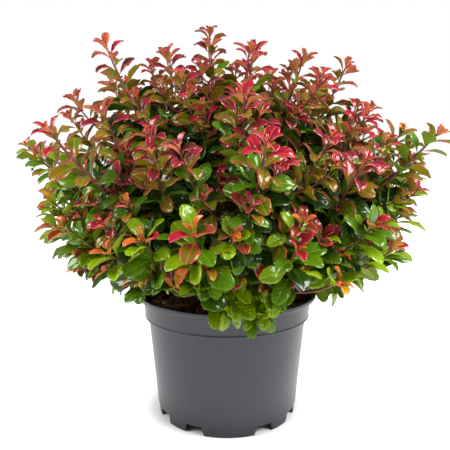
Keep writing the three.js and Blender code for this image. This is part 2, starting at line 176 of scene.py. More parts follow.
def applied(piece, modifier):
    graph = bpy.context.evaluated_depsgraph_get()
    graph.update()
    made = bpy.data.meshes.new_from_object(piece.evaluated_get(graph))
    made.name = piece.name
    piece.modifiers.remove(modifier)
    before = piece.data
    piece.data = made
    bpy.data.meshes.remove(before)
    return piece


def plainMesh(name, points, faces, edges=()):
    mesh = bpy.data.meshes.new(name)
    mesh.from_pydata(points, edges, faces)
    return mesh


def ringFaces(rings, sides, first=0, turnedOver=False):
    # the walls between rings of points that follow each other
    faces = []
    for ring in range(rings - 1):
        for k in range(sides):
            a, b = first + ring * sides + k, first + ring * sides + (k + 1) % sides
            far = (b, b + sides, a + sides) if turnedOver else (a + sides, b + sides, b)
            faces.append((a, *far))
    return faces


def store(mesh, name, kind, values, domain="POINT", field="value"):
    mesh.attributes.new(name, kind, domain).data.foreach_set(field, values)


def newPiece(name, data):
    piece = bpy.data.objects.new(name, data)
    bpy.context.scene.collection.objects.link(piece)
    return piece


def declarePiece(piece, slotName, nodes):
    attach(piece, "root")
    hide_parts(*nodes)
    print(piece.name, len(piece.data.polygons), "faces")


def newMaterial(name, values):
    material = bpy.data.materials.new(name)
    material.use_nodes = True
    shader = material.node_tree.nodes["Principled BSDF"]
    for label, value in values.items():
        shader.inputs[label].default_value = value
    return material, material.node_tree, shader


def addRelief(tree, shader, group, strength, depth):
    # joins a group's roughness and height to the shader
    bump = addNode(tree, "ShaderNodeBump", values={
        "Strength": strength, "Distance": depth, "Height": group.outputs["Height"],
    })
    tree.links.new(group.outputs["Roughness"], shader.inputs["Roughness"])
    tree.links.new(bump.outputs["Normal"], shader.inputs["Normal"])


# Camera, floor and light

view = {
    "place": (-0.0026, -0.656, 0.325), "pitch": 7.2,  # degrees below the horizon
    "sensor": 36, "lens": 40.96, "clip": (0.02, 200),
    "floorRadius": 30, "floorCells": 24,
    "floorTone": (196, 196, 196), "floorRoughness": 0.7, "floorSpecular": 0.1,
    # painted light and shade: the floor's glow is none right under the pot, which leaves a painted contact
    # shadow there, and full a little way off, where it whitens the lamps' cast shadows
    "floorPaintedLight": (0.0, 1.1), "paintedLightReach": (0.086, 0.13),  # under the pot, and far from it
    "skyTones": (0.55, 0.26), "skyHeights": (0.05, 0.6),  # at the horizon, and overhead
    "lightAim": (0, 0, 0.25),
    "key": {"place": (1.3, -0.8, 1.6), "size": 1.3, "power": 90},
    "fill": {"place": (-1.45, -0.5, 1.15), "size": 1.0, "power": 40},
}


def makeCamera():
    camera = bpy.data.cameras.new("camera")
    camera.sensor_width = view["sensor"]
    camera.lens = view["lens"]
    camera.clip_start, camera.clip_end = view["clip"]
    piece = newPiece("camera", camera)
    piece.location = view["place"]
    piece.rotation_euler = (math.radians(90 - view["pitch"]), 0, 0)
    bpy.context.scene.camera = piece


def makeLight(name):
    light = bpy.data.lights.new(name, "AREA")
    light.shape = "DISK"
    light.size = view[name]["size"]
    light.energy = view[name]["power"]
    lamp = newPiece(name, light)
    lamp.location = view[name]["place"]
    away = Vector(view[name]["place"]) - Vector(view["lightAim"])
    lamp.rotation_euler = away.to_track_quat("Z", "Y").to_euler()


def makeSky():
    # white to the camera, and brighter at the horizon than overhead to the shrub
    sky = bpy.data.worlds.new("sky")
    sky.use_nodes = True
    tree = sky.node_tree
    tree.nodes.clear()
    path = addNode(tree, "ShaderNodeLightPath")
    aim = addNode(tree, "ShaderNodeTexCoord").outputs["Generated"]
    height = addNode(tree, "ShaderNodeSeparateXYZ", values={"Vector": aim}).outputs["Z"]
    tone = mapped(tree, height, view["skyHeights"], view["skyTones"])
    lit = addNode(tree, "ShaderNodeBackground", values={"Color": white, "Strength": tone})
    seen = addNode(tree, "ShaderNodeBackground", values={"Color": white, "Strength": 1.0})
    mixed = addNode(tree, "ShaderNodeMixShader", values={
        0: path.outputs["Is Camera Ray"], 1: lit.outputs[0], 2: seen.outputs[0],
    })
    addNode(tree, "ShaderNodeOutputWorld", values={"Surface": mixed.outputs[0]})
    bpy.context.scene.world = sky


def makeFloor():
    cells = view["floorCells"]  # they grow towards the floor's rim
    line = [view["floorRadius"] * (2 * k / cells - 1) ** 3 for k in range(cells + 1)]
    points = [(x, y, 0) for y in line for x in line]
    faces = []
    for row in range(cells):
        for column in range(cells):
            a = row * (cells + 1) + column
            faces.append((a, a + 1, a + cells + 2, a + cells + 1))
    floor = newPiece("floor", plainMesh("floor", points, faces))
    paint, tree, shader = newMaterial("floor_paint", {
        "Base Color": linearTone(*view["floorTone"]), "Roughness": view["floorRoughness"],
        "Specular IOR Level": view["floorSpecular"], "Emission Color": white,
    })
    # painted light: the floor glows more with the distance from the pot's axis, so it stays darker under the
    # pot as painted shade and glows white over the lamps' shadows farther off
    place = addNode(tree, "ShaderNodeTexCoord").outputs["Object"]
    away = addNode(tree, "ShaderNodeVectorMath", {"operation": "LENGTH"}, {0: place})
    paintedGlow = mapped(tree, away.outputs["Value"], view["paintedLightReach"], view["floorPaintedLight"])
    tree.links.new(paintedGlow, shader.inputs["Emission Strength"])
    floor.data.materials.append(paint)


def makeStudio():
    bpy.context.scene.view_settings.view_transform = "Standard"
    makeCamera()
    makeSky()
    makeFloor()
    makeLight("key")
    makeLight("fill")
    print("studio ready")


# Shader groups that several materials share

grain = {
    "detail": 5.0, "coarseDetail": 3.0, "coarseShare": 0.2,
    "noiseSpan": (0.3, 0.7),  # the part of a noise's range that is used
    "tintSpan": (0.35, 0.65),
}
veins = {
    "count": 7.0, "slant": 1.3, "ease": 0.6, "dryScale": 9.0, "dryDetail": 4.0,
    "spineShare": 0.25,  # where a side's midrib lies across the map
}


def makeGrainGroup():
    # mottling and relief from noise in the piece's own space
    tree, given, out = newTree("grain", "ShaderNodeTree", [
        ("Scale", "NodeSocketFloat", 200.0),
        ("Stretch", "NodeSocketVector", (1, 1, 1)),
        ("Low", "NodeSocketFloat", 0.4),
        ("High", "NodeSocketFloat", 0.6),
    ], [("Mask", "NodeSocketFloat"), ("Height", "NodeSocketFloat"), ("Roughness", "NodeSocketFloat")])
    place = addNode(tree, "ShaderNodeTexCoord").outputs["Object"]
    stretched = addNode(tree, "ShaderNodeVectorMath", {"operation": "MULTIPLY"}, {
        0: place, 1: given["Stretch"],
    }).outputs[0]
    scale = given["Scale"]
    coarseScale = maths(tree, "MULTIPLY", scale, grain["coarseShare"])
    noise = noiseAt(tree, stretched, scale, grain["detail"])
    coarse = noiseAt(tree, stretched, coarseScale, grain["coarseDetail"])
    rough = mapped(tree, noise, grain["noiseSpan"], (given["Low"], given["High"]))
    tree.links.new(coarse, out["Mask"])
    tree.links.new(noise, out["Height"])
    tree.links.new(rough, out["Roughness"])
    return tree


def makeVeinGroup():
    # a leaf's side veins and quilting, along U from its stalk and across V
    tree, given, out = newTree("leafVeins", "ShaderNodeTree", [
        ("Veins", "NodeSocketFloat", veins["count"]),
        ("Slant", "NodeSocketFloat", veins["slant"]),
        ("Low", "NodeSocketFloat", 0.2),
        ("High", "NodeSocketFloat", 0.4),
    ], [("Height", "NodeSocketFloat"), ("Roughness", "NodeSocketFloat")])
    place = addNode(tree, "ShaderNodeUVMap", {"uv_map": "OFBake"}).outputs["UV"]
    parts = addNode(tree, "ShaderNodeSeparateXYZ", values={"Vector": place})
    along, across = parts.outputs[0], parts.outputs[1]
    half = maths(tree, "PINGPONG", maths(tree, "SUBTRACT", across, veins["spineShare"]), veins["spineShare"])
    slanted = maths(tree, "SUBTRACT", along, maths(tree, "MULTIPLY", half, given["Slant"]))
    wave = maths(tree, "PINGPONG", maths(tree, "MULTIPLY", slanted, given["Veins"]), 0.5)
    quilt = maths(tree, "POWER", maths(tree, "MULTIPLY", wave, 2.0), veins["ease"])
    dry = noiseAt(tree, place, veins["dryScale"], veins["dryDetail"])
    rough = mapped(tree, dry, grain["noiseSpan"], (given["Low"], given["High"]))
    tree.links.new(quilt, out["Height"])
    tree.links.new(rough, out["Roughness"])
    return tree


grainGroup = makeGrainGroup()
veinGroup = makeVeinGroup()


def grainMaterial(name, tones, look):
    # tones are the dark and light ends of the mottling
    material, tree, shader = newMaterial(name, {"Specular IOR Level": look.get("specular", 0.5)})
    group = addNode(tree, "ShaderNodeGroup", {"node_tree": grainGroup}, {
        "Scale": look["scale"], "Stretch": look.get("stretch", (1, 1, 1)),
        "Low": look["roughness"][0], "High": look["roughness"][1],
    })
    tint = addNode(tree, "ShaderNodeValToRGB", values={"Fac": group.outputs["Mask"]})
    for stop, position, tone in zip(tint.color_ramp.elements, grain["tintSpan"], tones):
        stop.position = position
        stop.color = linearTone(*tone)
    tree.links.new(tint.outputs["Color"], shader.inputs["Base Color"])
    addRelief(tree, shader, group, look["bump"], look["depth"])
    return material


# Pot: satin nursery plastic with a rolled lip, a collar and a notched foot ring

pot = {
    "rimRadius": 115, "height": 158, "lipHeight": 6.4, "lipRound": 1.4,
    "collarTopRadius": 108.4, "collarFootRadius": 106, "collarFootHeight": 127.3,
    "bodyTopRadius": 101.8, "bodyFootRadius": 91,
    "footHeight": 11.5, "footTopRadius": 90.3, "footRadius": 89.2, "ringThickness": 5.6, "ringMargin": 1.5,
    "wall": 2.2, "padRadius": 46, "padSlope": 5,
    "wideFoot": 43, "notchAngle": 13, "footTurn": 1.6, "notchDraft": 2.6, "notchGap": 0.4,
    "drainRadius": 4.5, "drainCircle": 68, "drainSides": 20, "drainMargin": 4,
    "segments": 400, "roundSteps": 4, "ringSteps": 4, "sharpAngle": 50,
    "tones": ((9, 12, 22), (11, 14, 26)),
    "look": {"scale": 1400.0, "roughness": (0.34, 0.4), "bump": 0.12, "depth": 0.0001, "specular": 0.5},
}


def roundedProfile(corners):
    # each corner is radius, height and how far its rounding reaches along both sides
    points = []
    for k, (radius, height, rounding) in enumerate(corners):
        here = Vector((radius, height))
        if rounding == 0 or k in (0, len(corners) - 1):
            points.append((radius, height))
            continue
        ends = []
        for neighbour in (corners[k - 1], corners[k + 1]):
            side = Vector(neighbour[:2]) - here
            ends.append(here + side.normalized() * min(rounding, side.length * 0.45))
        for step in range(pot["roundSteps"] + 1):
            bent = bezier((ends[0], here, ends[1]), step / pot["roundSteps"])
            points.append((bent.x, bent.y))
    return points


def turnedMesh(name, profile, segments, place):
    # a solid of revolution from the axis round to the axis again. place moves each point.
    points = [place(0, 0, profile[0][1])]
    for radius, height in profile[1:-1]:
        points += [place(radius, 2 * math.pi * k / segments, height) for k in range(segments)]
    points.append(place(0, 0, profile[-1][1]))
    rings = len(profile) - 2
    last = 1 + (rings - 1) * segments
    faces = ringFaces(rings, segments, 1, turnedOver=True)
    for k in range(segments):
        after = (k + 1) % segments
        faces.append((0, 1 + after, 1 + k))
        faces.append((last + k, last + after, len(points) - 1))
    mesh = plainMesh(name, points, faces)
    mesh.shade_smooth()
    return mesh


def potPoint(radius, angle, height):
    # the foot ring's lower edge rises in the notches
    wallHeight = pot["footHeight"] - pot["notchGap"]
    ringInner = pot["footRadius"] - pot["ringThickness"] - pot["ringMargin"]
    if radius > ringInner and height < wallHeight:
        turned = math.degrees(angle) + 90 - pot["footTurn"]
        offset = (turned + 45) % 90 - 45  # from the nearest wide foot's middle
        middle = pot["wideFoot"] / 2 + pot["notchAngle"] / 2
        fromNotch = abs(abs(offset) - middle) * math.radians(1) * pot["footRadius"]
        halfNotch = pot["notchAngle"] / 2 * math.radians(1) * pot["footRadius"]
        inside = clamped((halfNotch + pot["notchDraft"] - fromNotch) / pot["notchDraft"])
        eased = inside * inside * (3 - 2 * inside)
        height = max(height, wallHeight * eased)
    return (radius * mm * math.cos(angle), radius * mm * math.sin(angle), height * mm)


def potProfile():
    wall, height = pot["wall"], pot["height"]
    lipFoot = height - pot["lipHeight"]
    rim = pot["rimRadius"]
    ringInner = pot["footRadius"] - pot["ringThickness"]
    collarTop, collarFoot = pot["collarTopRadius"], pot["collarFootRadius"]
    collarLow = pot["collarFootHeight"]
    foot = pot["footHeight"]
    floorTop = foot + wall
    outline = roundedProfile([
        (0, 0, 0),
        (pot["padRadius"], 0, 2),  # the middle pad and the raised underside
        (pot["padRadius"] + pot["padSlope"], foot, 2),
        (ringInner - 1, foot, 1),
        (ringInner, 0, 0.6),  # the foot ring
        (pot["footRadius"], 0, 1.2),
        (pot["footTopRadius"] - 0.2, foot - 0.5, 0.3),
        (pot["bodyFootRadius"], foot + 0.4, 0.5),  # the body
        (pot["bodyTopRadius"], collarLow - 1.2, 1.4),
        (collarFoot + 0.4, collarLow - 0.2, 0.7),  # the bead at the collar's foot
        (collarFoot + 0.9, collarLow + 1.5, 0.8),
        (collarFoot + 0.2, collarLow + 3.6, 0.8),
        (collarTop, lipFoot - 1, 1.2),  # the rolled lip
        (rim - 0.7, lipFoot, 1.5),
        (rim, lipFoot + 3.2, 1),
        (rim - 0.2, height, 1.9),
        (rim - pot["lipRound"] * 2.2, height, 1),
        (collarTop, height - 2.6, 1.4),  # the inside, from the lip down to the floor
        (collarTop - wall, lipFoot, 1),
        (collarFoot - wall, collarLow + wall, 1),
        (pot["bodyTopRadius"] - wall, collarLow - wall, 1),
        (pot["bodyFootRadius"] - wall, floorTop + 2, 1.5),
        (pot["padRadius"] + 1, floorTop, 1),
        (pot["padRadius"] - pot["padSlope"], wall + 1, 1),
        (0, wall + 1, 0),
    ])
    # the ring's walls get more heights, so that the notches have clean sides
    dense = [outline[0]]
    for before, after in zip(outline, outline[1:]):
        isRingWall = min(before[1], after[1]) < 1 and max(before[1], after[1]) > 9
        steps = pot["ringSteps"] if isRingWall else 1
        for step in range(1, steps + 1):
            t = step / steps
            dense.append((between(before[0], after[0], t), between(before[1], after[1], t)))
    return dense


def drainDrill():
    # a pin for each drain hole, two to a quarter
    sides = pot["drainSides"]
    low = pot["footHeight"] - pot["drainMargin"]
    high = pot["footHeight"] + pot["wall"] + pot["drainMargin"]
    points, faces = [], []
    for quarter in range(4):
        for sign in (-1, 1):
            turn = pot["footTurn"] - 90 + quarter * 90 + sign * (pot["wideFoot"] + pot["notchAngle"]) / 2
            centre = directionAt(turn, 0) * pot["drainCircle"]
            ring = list(range(len(points), len(points) + sides))
            for height in (low, high):
                for k in range(sides):
                    spot = centre + directionAt(360 * k / sides, 0) * pot["drainRadius"]
                    points.append((spot.x * mm, spot.y * mm, height * mm))
            faces += [ring[::-1], [k + sides for k in ring]]
            faces += ringFaces(2, sides, ring[0], turnedOver=True)
    return newPiece("drill", plainMesh("drill", points, faces))


def makePot():
    shell = newPiece("nursery_pot", turnedMesh("nursery_pot", potProfile(), pot["segments"], potPoint))
    drill = drainDrill()
    cut = shell.modifiers.new("drains", "BOOLEAN")
    cut.operation = "DIFFERENCE"
    cut.solver = "EXACT"
    cut.object = drill
    applied(shell, cut)
    bpy.data.objects.remove(drill)
    shell.data.materials.clear()
    shell.data.materials.append(grainMaterial("satin_plastic", pot["tones"], pot["look"]))
    shell.data.shade_smooth()
    shell.data.set_sharp_from_angle(angle=math.radians(pot["sharpAngle"]))
    declarePiece(shell, "pot_plastic", ["pot"])


# Soil and shredded bark

soil = {
    "height": 150, "edgeDrop": 4, "levelRadius": 26, "dropOver": 76, "segments": 96, "ringStep": 5,
    "relief": 1.6, "reliefRadii": (20, 100), "reliefFade": 10, "reliefDepth": 1,
    "swellLengths": (9, 11, 6), "fineLengths": (2.3, 3.1, 1.9, 4.3), "fineShare": 0.5,
    "chipKinds": 5, "chipLength": 15, "chipWidth": 5, "chipThickness": 2.4, "chipStations": 4,
    "lengthSpread": (0.7, 1.3), "widthSpread": (0.6, 1.4), "ragged": 0.12, "sideRagged": 0.3,
    "jitter": (0.5, 0.4), "bend": 1.6, "taper": (0.35, 0.65), "taperSpan": (0.16, 0.84),
    "chipRings": (24, 50, 75, 98), "chipBedSides": 48, "chipLift": 1.2,
    "chipGap": 0.0028, "chipDensity": 42000.0, "seed": 4, "kindSeed": 700,
    "chipSize": (0.5, 1.25), "chipTurn": (0.5, 0.45, 6.283), "paleShare": 0.22,
    "soilTones": ((22, 14, 10), (42, 27, 18)),
    "barkTones": ((56, 33, 21), (110, 69, 44)),
    "paleTones": ((88, 58, 38), (140, 100, 70)),
    "soilLook": {"scale": 400.0, "roughness": (0.8, 0.98), "bump": 0.8, "depth": 0.001, "specular": 0.2},
    "chipLook": {
        "scale": 260.0, "stretch": (1, 1, 2.2), "roughness": (0.7, 0.95),
        "bump": 0.6, "depth": 0.0006, "specular": 0.25,
    },
}


def soilTop(radius):
    return soil["height"] - soil["edgeDrop"] * clamped((radius - soil["levelRadius"]) / soil["dropOver"])


def soilPoint(radius, angle, height):
    x, y = radius * math.cos(angle), radius * math.sin(angle)
    inner, outer = soil["reliefRadii"]
    if height > soil["height"] - soil["edgeDrop"] - soil["reliefDepth"] and inner < radius < outer:
        a, b, c = soil["swellLengths"]
        swell = math.sin(x / a) * math.cos(y / b) + 0.5 * math.sin((x + y) / c)
        a, b, c, d = soil["fineLengths"]
        fine = soil["fineShare"] * math.sin(x / a + y / b) * math.cos(y / c - x / d)
        height += soil["relief"] * (swell + fine) * clamped((radius - inner) / soil["reliefFade"])
    return (x * mm, y * mm, height * mm)


def makeSoil():
    # it keeps a little way off the pot's inner wall
    wall = pot["wall"] + 0.5
    floorTop = pot["footHeight"] + wall
    collarLow = pot["collarFootHeight"]
    edge = pot["collarTopRadius"] - wall - 1.2
    profile = [
        (0, wall + 1.2), (pot["padRadius"] - pot["padSlope"] - 0.5, wall + 1.2),
        (pot["padRadius"] + 1, floorTop + 0.3), (pot["bodyFootRadius"] - wall - 3, floorTop + 0.5),
        (pot["bodyTopRadius"] - wall - 0.4, collarLow - wall - 1),
        (pot["collarFootRadius"] - wall - 1, collarLow + wall + 1),
        *[(radius, soilTop(radius)) for radius in (edge, *range(100, -1, -soil["ringStep"]))],
    ]
    ground = newPiece("potting_mix", turnedMesh("potting_mix", profile, soil["segments"], soilPoint))
    ground.data.materials.append(grainMaterial("damp_soil", soil["soilTones"], soil["soilLook"]))
    declarePiece(ground, "bark_mulch", ["potting_soil"])


def chipMesh(kind):
    # a torn splinter of bark: a bent box with ragged ends
    draw = seededStream(soil["kindSeed"] + kind)
    length = soil["chipLength"] * between(*soil["lengthSpread"], draw(0, 1))
    width = soil["chipWidth"] * between(*soil["widthSpread"], draw(0, 1))
    ragged, (sideways, upright) = soil["ragged"], soil["jitter"]
    least, most = soil["taper"]
    points = []
    stations = soil["chipStations"]
    for k in range(stations):
        share = k / (stations - 1)
        along = (share - 0.5) * length
        narrow = width * (least + most * math.sin(math.pi * between(*soil["taperSpan"], share)))
        for y, z in ((-1, -1), (1, -1), (1, 1), (-1, 1)):
            torn = draw(-ragged, ragged) * length * (1 if k in (0, stations - 1) else soil["sideRagged"])
            arch = soil["bend"] * share * (1 - share)
            points.append((
                (along + torn) * mm,
                (y * narrow / 2 + draw(-sideways, sideways)) * mm,
                (z * soil["chipThickness"] / 2 + arch + draw(-upright, upright)) * mm,
            ))
    last = 4 * (stations - 1)
    faces = ringFaces(stations, 4) + [(0, 1, 2, 3), (last + 3, last + 2, last + 1, last)]
    return plainMesh(f"chip_{kind}", points, faces)


def shapeCollection(name, meshes):
    # a scratch collection of shapes for a tree to pick from, removed after use
    shapes = bpy.data.collections.new(name)
    bpy.context.scene.collection.children.link(shapes)
    for mesh in meshes:
        shapes.objects.link(bpy.data.objects.new(mesh.name, mesh))
    return shapes


def dropCollection(shapes):
    for piece in list(shapes.objects):
        mesh = piece.data
        bpy.data.objects.remove(piece)
        bpy.data.meshes.remove(mesh)
    bpy.data.collections.remove(shapes)


def chipTree():
    tree, given, out = newTree("barkChips", "GeometryNodeTree", [
        ("Geometry", "NodeSocketGeometry", None),
        ("Chips", "NodeSocketCollection", None),
        ("Gap", "NodeSocketFloat", 0.003),
        ("Density", "NodeSocketFloat", 30000.0),
        ("Smallest", "NodeSocketFloat", 0.5),
        ("Largest", "NodeSocketFloat", 1.2),
        ("Seed", "NodeSocketInt", 1),
        ("Bark", "NodeSocketMaterial", None),
        ("Pale bark", "NodeSocketMaterial", None),
    ], [("Geometry", "NodeSocketGeometry")])
    seed = given["Seed"]
    spots = addNode(tree, "GeometryNodeDistributePointsOnFaces", {"distribute_method": "POISSON"}, {
        "Mesh": given["Geometry"], "Distance Min": given["Gap"],
        "Density Max": given["Density"], "Seed": seed,
    })
    tiltX, tiltY, around = soil["chipTurn"]
    turn = addNode(tree, "FunctionNodeRandomValue", {"data_type": "FLOAT_VECTOR"}, {
        "Min": (-tiltX, -tiltY, 0), "Max": (tiltX, tiltY, around), "Seed": seed,
    })
    size = addNode(tree, "FunctionNodeRandomValue", {"data_type": "FLOAT"}, {
        2: given["Smallest"], 3: given["Largest"], "Seed": seed,
    })
    chips = addNode(tree, "GeometryNodeCollectionInfo", values={
        "Collection": given["Chips"], "Separate Children": True, "Reset Children": True,
    })
    turned = addNode(tree, "FunctionNodeEulerToRotation", values={"Euler": turn.outputs[0]})
    laid = addNode(tree, "GeometryNodeInstanceOnPoints", values={
        "Points": spots.outputs["Points"], "Instance": chips.outputs[0], "Pick Instance": True,
        "Rotation": turned.outputs[0], "Scale": size.outputs[1],
    })
    isPale = addNode(tree, "FunctionNodeRandomValue", {"data_type": "BOOLEAN"}, {
        "Probability": soil["paleShare"], "Seed": seed,
    })
    kept = {"data_type": "BOOLEAN", "domain": "INSTANCE"}
    marked = addNode(tree, "GeometryNodeStoreNamedAttribute", kept, {
        "Geometry": laid.outputs[0], "Name": "isPale", "Value": isPale.outputs[3],
    })
    real = addNode(tree, "GeometryNodeRealizeInstances", values={"Geometry": marked.outputs[0]}).outputs[0]
    dark = painted(tree, real, given["Bark"])
    light = painted(tree, dark, given["Pale bark"], storedValue(tree, "isPale", "BOOLEAN"))
    tree.links.new(light, out[0])
    return tree


def makeChips():
    # chips lie on the open soil between the stem's foot and the pot's wall
    rings, sides = soil["chipRings"], soil["chipBedSides"]
    points = [
        soilPoint(radius, 2 * math.pi * k / sides, soilTop(radius) + soil["chipLift"])
        for radius in rings for k in range(sides)
    ]
    chips = newPiece("bark_chips", plainMesh("bed", points, ringFaces(len(rings), sides)))
    shapes = shapeCollection("chip_shapes", [chipMesh(kind) for kind in range(soil["chipKinds"])])
    runTree(chips, chipTree(), {
        "Chips": shapes, "Gap": soil["chipGap"], "Density": soil["chipDensity"],
        "Smallest": soil["chipSize"][0], "Largest": soil["chipSize"][1], "Seed": soil["seed"],
        "Bark": grainMaterial("bark_chip", soil["barkTones"], soil["chipLook"]),
        "Pale bark": grainMaterial("pale_chip", soil["paleTones"], soil["chipLook"]),
    })
    dropCollection(shapes)
    declarePiece(chips, "bark_mulch", ["potting_soil"])


# Crown plan: the rule that the shrub's solids were grown by

stem = {
    "flareRadius": 19, "waistRadius": 12.6, "flareShare": 0.16, "tipRadius": 4.2,
    "foot": 150.3, "tip": 246, "lean": Vector((4, -3, 0)), "bend": 2.5,
    "steps": 16, "stepEase": 1.4,  # closer steps at the flare
}
crown = {
    "heart": Vector((0, 0, 165)),
    "reach": ((-14, 146), (1, 162), (8, 192), (16, 252), (36, 329), (62, 338), (90, 346)),
    "seed": 102, "boughSeed": 50, "fineSeed": 25, "leafSeed": 7,
    "topSpread": 11, "topLean": 4,
    "boughTipShare": 0.72, "boughRise": 0.6, "boughSag": (0.032, 0.096),
    "boughSteps": 4, "fineBoughSteps": 12,
}
rings = (
    {"name": "low", "count": 8, "firstAzimuth": -15, "elevation": 12, "spreadAcross": 18,
     "spreadUp": 12.5, "leaveHeight": 164, "boughReach": 96, "boughRadius": 3.8},
    {"name": "side", "count": 8, "firstAzimuth": 7.5, "elevation": 36, "spreadAcross": 15.5,
     "spreadUp": 12, "leaveHeight": 184, "boughReach": 118, "boughRadius": 3.6},
    {"name": "shoulder", "count": 5, "firstAzimuth": -8, "elevation": 62, "spreadAcross": 14.5,
     "spreadUp": 11.5, "leaveHeight": 207, "boughReach": 132, "boughRadius": 3.4},
)
shoots = {
    "sideCount": 5, "stemShare": (0.08, 0.5), "mainReach": (0.9, 1.02), "sideReach": (0.85, 0.93),
    "sideJitter": (-14, 14), "fineJitter": (-20, 20), "firstWide": 0.7, "narrowings": (1, 0.86, 0.72, 0.58),
    "upwardTurn": 0.42, "collar": 5, "clearance": 0.3,
    "overhang": 15,  # how far leaves reach past the end of their twig
    "main": {"twig": (2.7, 1.0), "leafy": 190},
    "side": {"twig": (1.5, 0.8), "leafy": 170},
    "fine": {"twig": (1.1, 0.7), "leafy": 95, "leafShare": 0.94,
             "count": 9, "reach": (0.7, 0.9), "leave": (0.2, 0.8), "spread": 1.05},
    "inner": {"twig": (1.1, 0.7), "leafy": 75, "leafShare": 1.15,
              "count": 8, "reach": (0.42, 0.66), "leave": (0.02, 0.45), "spread": 1.1},
    "skirt": {"twig": (1.1, 0.7), "leafy": 60, "count": 5, "reach": (0.84, 1.0), "leave": (0.02, 0.3),
              "elevation": (-9, 7), "across": 20, "jitter": (-4, 4), "upwardTurn": 0.1},
    "upperShare": 0.91,  # fine and inner shoots stay shorter at the top, where the tips stand apart
    "openRims": ((192, 226), (240, 262), (292, 345)),  # where the soil shows under the crown
    "openFrom": 66, "openHeight": 180, "openSlope": 0.26, "openMiddle": 110,
    "spaceMargin": 1.75, "leastLength": 45, "leastLeave": 0.02, "retreat": 0.7,
}


def reachAlong(direction):
    elevation = math.degrees(math.asin(min(max(direction.z, -1), 1)))
    reach = crown["reach"]
    if elevation <= reach[0][0]:
        return reach[0][1]
    for low, high in zip(reach, reach[1:]):
        if elevation <= high[0]:
            return between(low[1], high[1], (elevation - low[0]) / (high[0] - low[0]))
    return reach[-1][1]


def stemPoint(share):
    bend = stem["bend"] * math.sin(math.pi * share)
    return stem["lean"] * share + Vector((-bend, bend, between(stem["foot"], stem["tip"], share)))


def stemRadius(share):
    flare = max(0, 1 - share / stem["flareShare"])
    return between(stem["waistRadius"], stem["tipRadius"], share) + \
        (stem["flareRadius"] - stem["waistRadius"]) * flare * flare


def planMasses():
    masses = []
    for ringNumber, ring in enumerate(rings):
        for k in range(ring["count"]):
            azimuth = ring["firstAzimuth"] + 360 * k / ring["count"]
            masses.append({
                "node": f"{ring['name']}_foliage_{k + 1}",
                "bough": f"{ring['name']}_bough_{k + 1}",
                "direction": directionAt(azimuth, ring["elevation"]),
                "azimuth": azimuth, "ring": ring,
                "seed": crown["seed"] * 1000 + ringNumber * 100 + k + 1,
            })
    masses.append({
        "node": "top_foliage", "bough": None, "azimuth": 180,
        "direction": directionAt(180, 90 - crown["topLean"]),
        "ring": {"name": "top", "spreadAcross": crown["topSpread"], "spreadUp": crown["topSpread"]},
        "seed": crown["seed"] * 1000 + 901,
    })
    for mass in masses:
        mass["walls"] = [
            (mass["direction"] - other["direction"]).normalized() for other in masses if other is not mass
        ]
    return masses


def boughCurve(mass):
    ring = mass["ring"]
    share = (ring["leaveHeight"] - soil["height"]) / (stem["tip"] - soil["height"])
    foot = stemPoint(share)
    tip = crown["heart"] + mass["direction"] * ring["boughReach"]
    draw = seededStream(mass["seed"] + crown["boughSeed"])
    length = (tip - foot).length
    middle = foot + directionAt(mass["azimuth"], ring["elevation"] * crown["boughRise"]) * length / 2
    middle.z -= length * draw(*crown["boughSag"])
    return foot, middle, tip


def limbEnd(mass):
    if not mass["bough"]:
        return stemPoint(1), upward
    curve = boughCurve(mass)
    before = bezier(curve, 1 - 1 / crown["boughSteps"])
    return curve[2], (curve[2] - before).normalized()


def isInSpace(point, walls, margin):
    offset = point - crown["heart"]
    return all(offset.dot(wall) >= margin for wall in walls)


def tangentFrame(direction):
    if abs(direction.z) > 0.99:
        side = Vector((1, 0, 0))
    else:
        side = upward.cross(direction).normalized()
    return side, direction.cross(side).normalized()


def shootCurve(foot, tip, direction, turnUp):
    level = math.sqrt(max(0, 1 - direction.z ** 2))
    finish = (direction + upward * turnUp * level).normalized()
    middle = tip - finish * (tip - foot).length * 0.5
    return foot, middle, tip


def tipOf(direction, factor):
    return crown["heart"] + direction * (reachAlong(direction) * factor - shoots["overhang"])


def isOverOpenRim(azimuth):
    return any(low < azimuth % 360 < high for low, high in shoots["openRims"])


def hidesSoil(spots):
    # true where a shoot or leaf would cover the soil that shows from the front
    for spot in spots:
        out = math.hypot(spot.x, spot.y)
        ceiling = shoots["openHeight"] + shoots["openSlope"] * (out - shoots["openMiddle"])
        isLowOutside = out > shoots["openFrom"] and spot.z < ceiling
        if isLowOutside and isOverOpenRim(math.degrees(math.atan2(spot.y, spot.x))):
            return True
    return False


